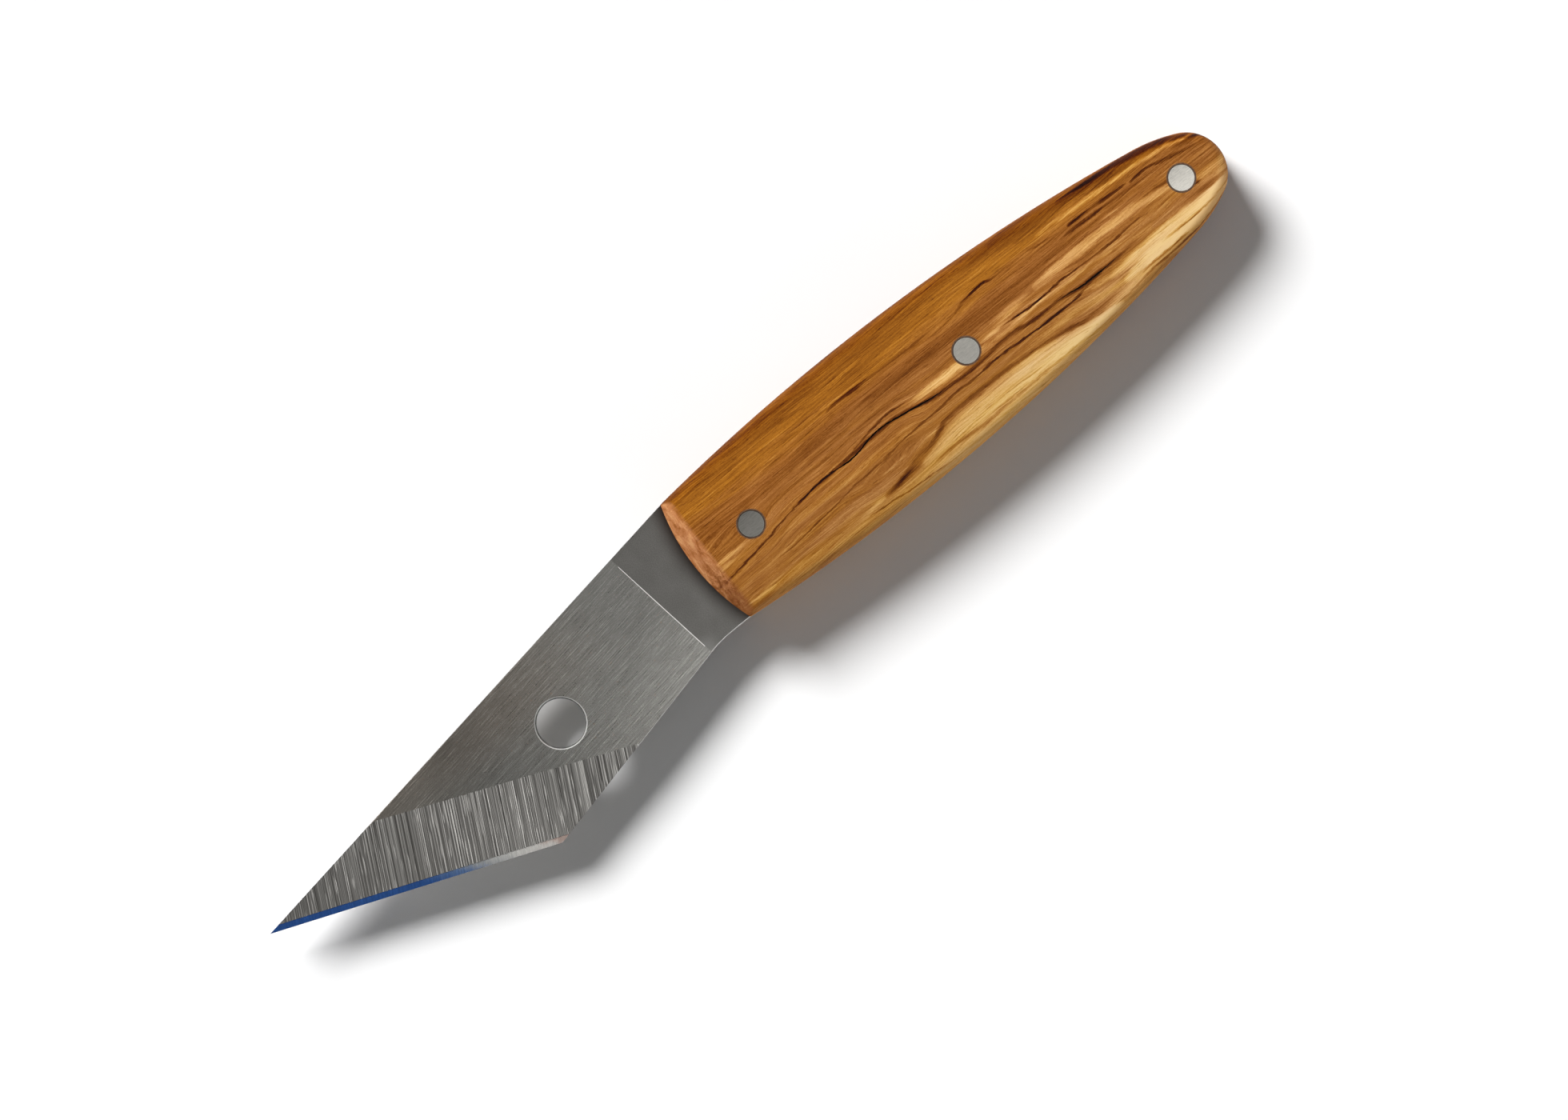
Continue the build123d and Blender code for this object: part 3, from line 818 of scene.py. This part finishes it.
def flat_finish(tree, place):
    """Brushed along the spine, with scratches, warm specks and a painted reflection that varies."""
    long_lines = tree.noise(place, (0.12, 6, 0), 2.0, 0.7)
    dashes = tree.noise(place, (0.5, 11, 3), 1.0, 0.6)
    grit = tree.noise(place, (4, 8, 1), 2.0, 0.7)
    x, y, _ = tree.parts(tree.layout())
    level = tree.sum(
        tree.scaled(long_lines, 0.4, -0.5), tree.scaled(dashes, 0.3), tree.scaled(grit, 0.3),
    )
    clear = tree.product(tree.ramp(x, -60, -34, 0.8, 1.15), tree.ramp(y, 9, 4, 0.6, 1))
    level = tree.scaled(level, clear, 0.5)
    scratch = tree.ramp(tree.noise(place, (0.45, 12, 7), 0.0), 0.72, 0.86, 0, 0.1)
    level = tree.sum(level, scratch)
    colour = tree.colours(level, [
        (0.34, 0.2, 0.195, 0.18), (0.47, 0.275, 0.27, 0.25),
        (0.54, 0.32, 0.314, 0.29), (0.62, 0.48, 0.47, 0.44),
        (0.72, 0.72, 0.7, 0.66),
    ])
    specks = tree.ramp(tree.noise(place, (2.2, 3.5, 5), 1.0), 0.71, 0.78, 0, 0.6)
    colour = tree.mix(specks, colour, (0.42, 0.3, 0.23))
    # Painted reflection: paler towards the belly at the rear of the flat
    pale = tree.product(tree.ramp(y, -5, -12), tree.ramp(x, -45, -30))
    colour = tree.tint(colour, pale, (1.12, 1.12, 1.12))
    warm = tree.product(tree.ramp(x, -22, -48), tree.ramp(y, -7, 2, 0, 0.8))
    colour = tree.tint(colour, warm, (1.0, 0.9, 0.83))
    # Painted reflection: brighter near the tip and darker towards the step, away from the edge
    painted_sheen = tree.product(tree.ramp(x, -64, -54, 1.4, 1), tree.ramp(x, -36, -18, 1, 0.8))
    colour = tree.mix(tree.ramp(y, -8, 0), colour, tree.brighten(colour, painted_sheen))
    return colour, tree.ramp(level, 0.35, 0.65, 0.26, 0.34, False), tree.bump(level, 0.00006, 0.6)


def ricasso_finish(tree, place):
    """Dull and even, with painted shadow along the handle and paler at the corner under the step."""
    field = tree.noise(place, 0.2, 2.0, 0.6)
    grit = tree.noise(place, (5, 10, 0), 3.0, 0.7)
    colour = tree.colours(tree.sum(tree.scaled(field, 0.25), tree.scaled(grit, 0.75)), [
        (0.35, 0.165, 0.159, 0.147), (0.65, 0.26, 0.253, 0.236),
    ])
    x, y, _ = tree.parts(tree.layout())
    # Painted shadow of the handle on the steel, within 3 mm of its front face
    handle_shadow_distance = tree.sum(distance_from(tree, FRONT + FRONT_RADIUS, 0), -FRONT_RADIUS)
    colour = tree.mix(tree.ramp(handle_shadow_distance, 3.0, 0.1, 0, 0.75), colour, (0.09, 0.08, 0.072))
    corner = tree.product(tree.ramp(y, -7.5, -10), tree.ramp(x, -13.5, -16.5, 0, 0.7))
    colour = tree.mix(corner, colour, (0.36, 0.355, 0.335))
    return colour, tree.ramp(grit, 0.3, 0.7, 0.36, 0.46, False), tree.bump(grit, 0.00003, 0.5)


def wall_finish(tree, place):
    """The outline's upright walls, with lines along them."""
    lines = tree.noise(tree.layout(), (0.2, 0.2, 9), 2.0, 0.7)
    colour = tree.colours(lines, [(0.3, 0.22, 0.215, 0.2), (0.7, 0.42, 0.41, 0.39)])
    return colour, tree.ramp(lines, 0.3, 0.7, 0.32, 0.42, False), tree.bump(lines, 0.00003, 0.5)


def painted_rim_glint_finish(tree, place):
    """The chamfer of the hole, with painted shade inside and a painted glint outside."""
    field = tree.noise(place, 2.0, 2.0)
    edge = tree.sum(distance_from(tree, HOLE.x, HOLE.y), tree.spread(field, 0.06))
    # Painted shade inside the chamfer and a painted glint on its outside
    colour = tree.colours(tree.ramp(edge, HOLE_RADIUS, HOLE_RADIUS + 0.3, smooth=False), [
        (0.0, 0.1, 0.1, 0.1), (0.35, 0.22, 0.22, 0.21), (0.55, 0.88, 0.87, 0.84),
        (0.95, 0.86, 0.85, 0.82),
    ])
    return colour, tree.ramp(field, 0.3, 0.7, 0.3, 0.4, False), tree.bump(field, 0.00001, 0.3)


def painted_glint_finish(tree, place):
    """The broken edges and the groove at the step, which catch the light, pale as a painted glint."""
    field = tree.noise(place, 2.0, 2.0)
    # Painted glint: pale colours for the light these narrow faces catch
    colour = tree.colours(field, [(0.3, 0.55, 0.54, 0.52), (0.7, 0.75, 0.74, 0.71)])
    return colour, tree.ramp(field, 0.3, 0.7, 0.3, 0.4, False), tree.bump(field, 0.00001, 0.3)


def bevel_marks(tree):
    """The grinding marks across both bevels: their place, the fine ones and all of them."""
    marks = turned_place(tree, MARKS_TURN)
    coarse = tree.noise(marks, (0.02, 1.6, 0), 1.0, 0.7)
    fine = tree.noise(marks, (0.02, 4.8, 0), 1.0, 0.8)
    sharp = tree.ramp(tree.noise(marks, (0.03, 3.6, 3), 0.0), 0.62, 0.78, 0, 0.16)
    return marks, fine, tree.sum(tree.scaled(coarse, 0.3), tree.scaled(fine, 0.7), sharp)


def bevel_finish(tree, place):
    """Coarse grinding marks, darker towards the rear."""
    _, _, level = bevel_marks(tree)
    colour = tree.colours(level, [
        (0.34, 0.19, 0.182, 0.168), (0.44, 0.38, 0.366, 0.342),
        (0.53, 0.57, 0.553, 0.52), (0.62, 0.98, 0.955, 0.9),
    ])
    rear = tree.ramp(tree.parts(tree.layout())["X"], -55, -42, 0, 0.8)
    colour = tree.tint(colour, rear, (0.67, 0.67, 0.67))
    return colour, tree.ramp(level, 0.35, 0.65, 0.28, 0.38, False), tree.bump(level, 0.00006, 0.6)


def painted_reflection_micro_finish(tree, place):
    """Painted reflection: blue towards the tip, silver towards the heel; a ragged dark upper border."""
    marks, fine, level = bevel_marks(tree)
    along, up, _ = tree.parts(turned_place(tree, EDGE_TURN))
    wave = tree.noise(marks, (0.3, 1.2, 0), 2.0)
    along = tree.sum(along, tree.spread(wave, 2.5), tree.scaled(up, 2.5, -1))
    # Painted reflection: blue towards the tip and silver towards the heel
    colour = tree.colours(tree.ramp(along, 0, EDGE_LENGTH, smooth=False), [
        (0.0, 0.03, 0.105, 0.36), (0.54, 0.035, 0.11, 0.35),
        (0.66, 0.13, 0.22, 0.42), (0.74, 0.42, 0.44, 0.45),
        (0.84, 0.76, 0.75, 0.71), (0.95, 0.84, 0.81, 0.76), (1.0, 0.6, 0.46, 0.4),
    ])
    colour = tree.brighten(colour, tree.ramp(level, 0.35, 0.65, 0.78, 1.15, False))
    ragged = tree.sum(up, tree.spread(fine, 0.35))
    border = tree.ramp(ragged, MICRO_WIDTH - 0.2, MICRO_WIDTH, 0, 0.8)
    colour = tree.mix(border, colour, (0.035, 0.035, 0.045))
    return colour, tree.ramp(level, 0.3, 0.7, 0.16, 0.24, False), tree.bump(level, 0.00002, 0.25)


# Each finish with how metallic it is
FINISHES = {
    "flat": (flat_finish, 1.0), "ricasso": (ricasso_finish, 1.0), "bevel": (bevel_finish, 1.0),
    "micro": (painted_reflection_micro_finish, 0.5), "shine": (painted_glint_finish, 0.5), "rim": (painted_rim_glint_finish, 0.55),
    "wall": (wall_finish, 1.0),
}


def steel_material(kind):
    """Ground steel with one of the finishes."""
    tree = Tree("steel_" + kind)
    finish, metallic = FINISHES[kind]
    colour, rough, normal = finish(tree, turned_place(tree, SPINE_TURN))
    tree.set(Base_Color=colour, Roughness=rough, Normal=normal, Metallic=metallic)
    return tree.block


def pin_material(name, painted_reflection_level):
    """Steel rod that was rubbed down with the wood, with fine scratches along the handle."""
    tree = Tree(name)
    place = tree.layout()
    lines = tree.noise(place, (1.2, 12, 1), 3.0, 0.7, 0.3)
    blotch = tree.noise(place, 0.8, 2.0)
    level = tree.sum(tree.product(lines, 0.8), tree.product(blotch, 0.2))
    # Painted reflection: each pin's brightness is given on its own
    dark, pale = 0.7 * painted_reflection_level, 1.2 * painted_reflection_level
    colour = tree.colours(level, [
        (0.35, dark, 0.96 * dark, 0.86 * dark), (0.65, pale, 0.96 * pale, 0.87 * pale),
    ])
    rough = tree.ramp(level, 0.3, 0.7, 0.32, 0.46, False)
    normal = tree.bump(lines, 0.00003, 0.4)
    tree.set(Base_Color=colour, Roughness=rough, Normal=normal, Metallic=1.0)
    return tree.block


def glue_material():
    """Dark set adhesive with dust from the sanding."""
    tree = Tree("glue")
    field = tree.noise(tree.layout(), 3.0, 3.0)
    colour = tree.colours(field, [(0.35, *rgb(76, 52, 36)), (0.7, *rgb(112, 80, 54))])
    tree.set(Base_Color=colour, Roughness=tree.ramp(field, 0.3, 0.7, 0.5, 0.7, False))
    return tree.block


# ---- the blade's grinding marks


def grinding_cutter(side, material, rng):
    """A slab whose inner face is the main bevel with grinding marks that run across it."""
    step = 0.1
    before, behind = 2, 16  # how far it runs past the two ends of the edge
    columns = int((EDGE_LENGTH + before + behind) / step)
    rows = np.concatenate([[-0.5, 0.3], np.linspace(0.8, 12.6, 14)])
    grooves = rng.random(columns) ** 2.2
    wide = np.convolve(rng.random(columns), np.ones(4) / 4, mode="same")
    base = 0.004 + 0.008 * grooves + 0.008 * wide
    slope = (BEVEL_HALF - MICRO_HALF) / (BEVEL_WIDTH - MICRO_WIDTH)
    sections = []
    for i in range(columns):
        drift = rng.normal(0, 0.0004, len(rows)).cumsum()
        inner, outer = [], []
        for t, wobble in zip(rows, drift):
            along = (i * step - before) + tan(MARKS_LEAN) * t
            place = TIP + EDGE_RUN * along + FROM_EDGE * t
            height = MICRO_HALF + (t - MICRO_WIDTH) * slope - max(base[i] + wobble, 0.002)
            inner.append((place.x, place.y, side * height))
            outer.append((place.x, place.y, side * 3.0))
        sections.append(inner + outer[::-1])
    points, faces = loft(sections)
    return mesh_object("grinding", points, faces, [material])


def plunge_cutter(side, material):
    """A fine groove along the step where the flat grind ends. Its long slope faces the handle."""
    down = Vector((SPINE_RUN.y, -SPINE_RUN.x))
    start = TIP + SPINE_RUN * PLUNGE
    sections = []
    for away, depth in ((1.5, 0.01), (2.5, 0.018), (17.6, 0.022), (18.6, 0.015)):
        top = HALF_STOCK - 0.02 - 0.06 * (away - 1.5) / 17
        profile_points = ((-0.12, top), (0.01, top - depth), (0.02, top + 1), (-0.12, top + 1))
        places = [(start + SPINE_RUN * along + down * away, z) for along, z in profile_points]
        sections.append([(place.x, place.y, side * z) for place, z in places])
    points, faces = loft(sections)
    return mesh_object("groove", points, faces, [material])


def blade_finish(face):
    """Which finish a face of the blade has, from where it is and which way it faces."""
    place = face.center.to_2d()
    tilt = abs(face.normal.z)
    from_edge = (place - TIP).dot(FROM_EDGE)
    at_hole = (place - HOLE).length < HOLE_RADIUS + 0.6
    if 0.25 < tilt < 0.9 and from_edge > MICRO_WIDTH and (at_hole or face.normal.y < 0):
        return "rim" if at_hole else "shine"
    if tilt < 0.25:
        return "wall"
    if (place - TIP).dot(SPINE_RUN) > PLUNGE:
        return "ricasso"
    return "micro" if from_edge < MICRO_WIDTH + 0.1 and tilt > 0.9 else "flat"


def make_blade(rng):
    """A copy of the CAD blade with ground bevels, and a finish of its own on each face."""
    finishes = {kind: steel_material(kind) for kind in FINISHES}
    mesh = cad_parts["blade"].data.copy()
    mesh.name = "blade_steel"
    if "custom_normal" in mesh.attributes:
        mesh.attributes.remove(mesh.attributes["custom_normal"])
    mesh.transform(Matrix.Scale(1 / MM, 4) @ Matrix.Translation(-ORIGIN))
    work = bmesh.new()
    work.from_mesh(mesh)
    bmesh.ops.remove_doubles(work, verts=work.verts, dist=1e-4)
    bmesh.ops.dissolve_limit(work, angle_limit=radians(0.02), verts=work.verts, edges=work.edges)
    work.to_mesh(mesh)
    work.free()
    mesh.materials.clear()
    for finish in finishes.values():
        mesh.materials.append(finish)
    piece = new_object("blade_steel", mesh)
    for side in (1, -1):
        cut(piece, grinding_cutter(side, finishes["bevel"], rng))
        cut(piece, plunge_cutter(side, finishes["shine"]))
    slots = {m.name: i for i, m in enumerate(piece.data.materials)}
    for face in piece.data.polygons:
        if face.material_index not in (slots["steel_bevel"], slots["steel_shine"]):
            face.material_index = slots["steel_" + blade_finish(face)]
    finish_piece(piece, 4, "blade")


# ---- pins


def make_pin(name, x, material):
    """A rod with a narrow chamfer at each end, whose ends follow the crowns."""
    rings = [(0.5, 0), (1.0, 0), (1.5, 0), (PIN_RADIUS - 0.1, 0), (PIN_RADIUS, 0.07)]
    count = 72
    points, faces = [], []
    for side in (1, -1):
        start = len(points)
        points.append((x, 0, side * float(top_height(x, 0))))
        for radius, drop in rings:
            for k in range(count):
                a = 2 * pi * k / count
                px, py = x + radius * cos(a), radius * sin(a)
                points.append((px, py, side * (float(top_height(px, py)) - drop)))
        for k in range(count):
            after = (k + 1) % count
            faces.append((start, start + 1 + k, start + 1 + after))
            for r in range(len(rings) - 1):
                a = start + 1 + r * count
                faces.append((a + k, a + count + k, a + count + after, a + after))
    upper = 1 + (len(rings) - 1) * count
    lower = upper + 1 + len(rings) * count
    for k in range(count):
        after = (k + 1) % count
        faces.append((upper + k, upper + after, lower + after, lower + k))
    piece = mesh_object(name + "_rod", points, faces, [material])
    finish_piece(piece, 25, name)


# ---- stage

# The camera's view: its width and its middle, in knife lengths, and its turn
PICTURE_WIDTH = 1.2736
PICTURE_MIDDLE = (0.0160, -0.0206)
CAMERA_TURN = radians(38.815)


def add_light(name, kind, power, direction):
    """A light that shines from a direction."""
    lamp = bpy.data.lights.new(name, kind)
    lamp.energy = power
    item = new_object(name, lamp)
    item.rotation_euler = Vector(direction).to_track_quat("Z", "Y").to_euler()
    return item


def make_sky():
    """A dim surround, brighter low down on the belly side."""
    world = bpy.data.worlds.new("studio")
    bpy.context.scene.world = world
    tree = Tree("studio", world)
    direction = tree.add("TexCoord").outputs["Generated"]
    towards = tree.vector("DOT_PRODUCT", direction, (0.3, -0.95, 0.0))
    tree.set(Strength=tree.ramp(towards, 0.1, 0.8, 0.13, 0.17), Color=(1, 1, 1))


def make_stage():
    """A plain pale floor, soft light and the camera straight above."""
    middle = (cad_low + cad_high) / 2
    length = cad_high.x - cad_low.x
    bpy.ops.mesh.primitive_plane_add(size=30 * length, location=(middle.x, middle.y, cad_low.z))
    floor = bpy.context.object
    floor.name = "floor"
    tree = Tree("floor_paper")
    field = tree.noise(tree.layout(), 0.02, 2.0)
    colour = tree.colours(field, [(0.3, 0.9, 0.9, 0.9), (0.7, 0.92, 0.92, 0.92)])
    tree.set(Base_Color=colour, Roughness=0.9)
    floor.data.materials.append(tree.block)

    make_sky()
    key = add_light("key", "SUN", 4.55, (-0.11, 1.0, 0.95))
    key.data.angle = radians(25)
    key.visible_glossy = False
    fill = add_light("fill", "SUN", 0.36, (0.2, -1.0, 0.42))
    fill.data.angle = radians(40)
    overhead = add_light("overhead", "AREA", 0.185, (0, 0, 1))  # only glossy surfaces show it
    overhead.data.size = length
    overhead.location = (middle.x + 0.4 * length, middle.y - 0.3 * length, 1.7 * length)
    overhead.visible_camera = False
    overhead.visible_diffuse = False

    data = bpy.data.cameras.new("camera")
    data.lens = 250
    data.sensor_width = 36
    camera = new_object("camera", data)
    distance = PICTURE_WIDTH * length * data.lens / data.sensor_width
    camera.location = (
        middle.x + PICTURE_MIDDLE[0] * length,
        middle.y + PICTURE_MIDDLE[1] * length,
        ORIGIN.z + HALF_STOCK * MM + distance,
    )
    camera.rotation_euler = (0, 0, -CAMERA_TURN)
    data.clip_end = 10 * distance
    bpy.context.scene.camera = camera
    bpy.context.scene.view_settings.view_transform = "Standard"


# ---- assembly

rng = np.random.default_rng(7)
make_stage()
make_blade(rng)

wood = {
    1: wood_material("olive_wood_left", False, 0.0),
    -1: wood_material("olive_wood_right", True, 7.0),
}
crack = crack_material()
for side, name in ((1, "left_scale"), (-1, "right_scale")):
    points, faces = scale_mesh(side)
    scale = mesh_object(name + "_wood", points, faces, [wood[side], crack])
    for x in PIN_XS:
        cut(scale, pin_drill(x, wood[side]))
    for path in CRACKS_LEFT if side == 1 else CRACKS_RIGHT:
        cut(scale, crack_cutter(path, side, crack, rng))
    finish_piece(scale, 30, name)

glue = glue_material()
for name in ("left_glue_line", "right_glue_line"):
    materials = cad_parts[name].data.materials
    materials.clear()
    materials.append(glue)

# Painted reflection: the pins are made brighter from the front pin to the rear pin
for name, x, level in zip(("front_pin", "middle_pin", "rear_pin"), PIN_XS, (0.25, 0.395, 0.76)):
    make_pin(name, x, pin_material(name + "_steel", level))
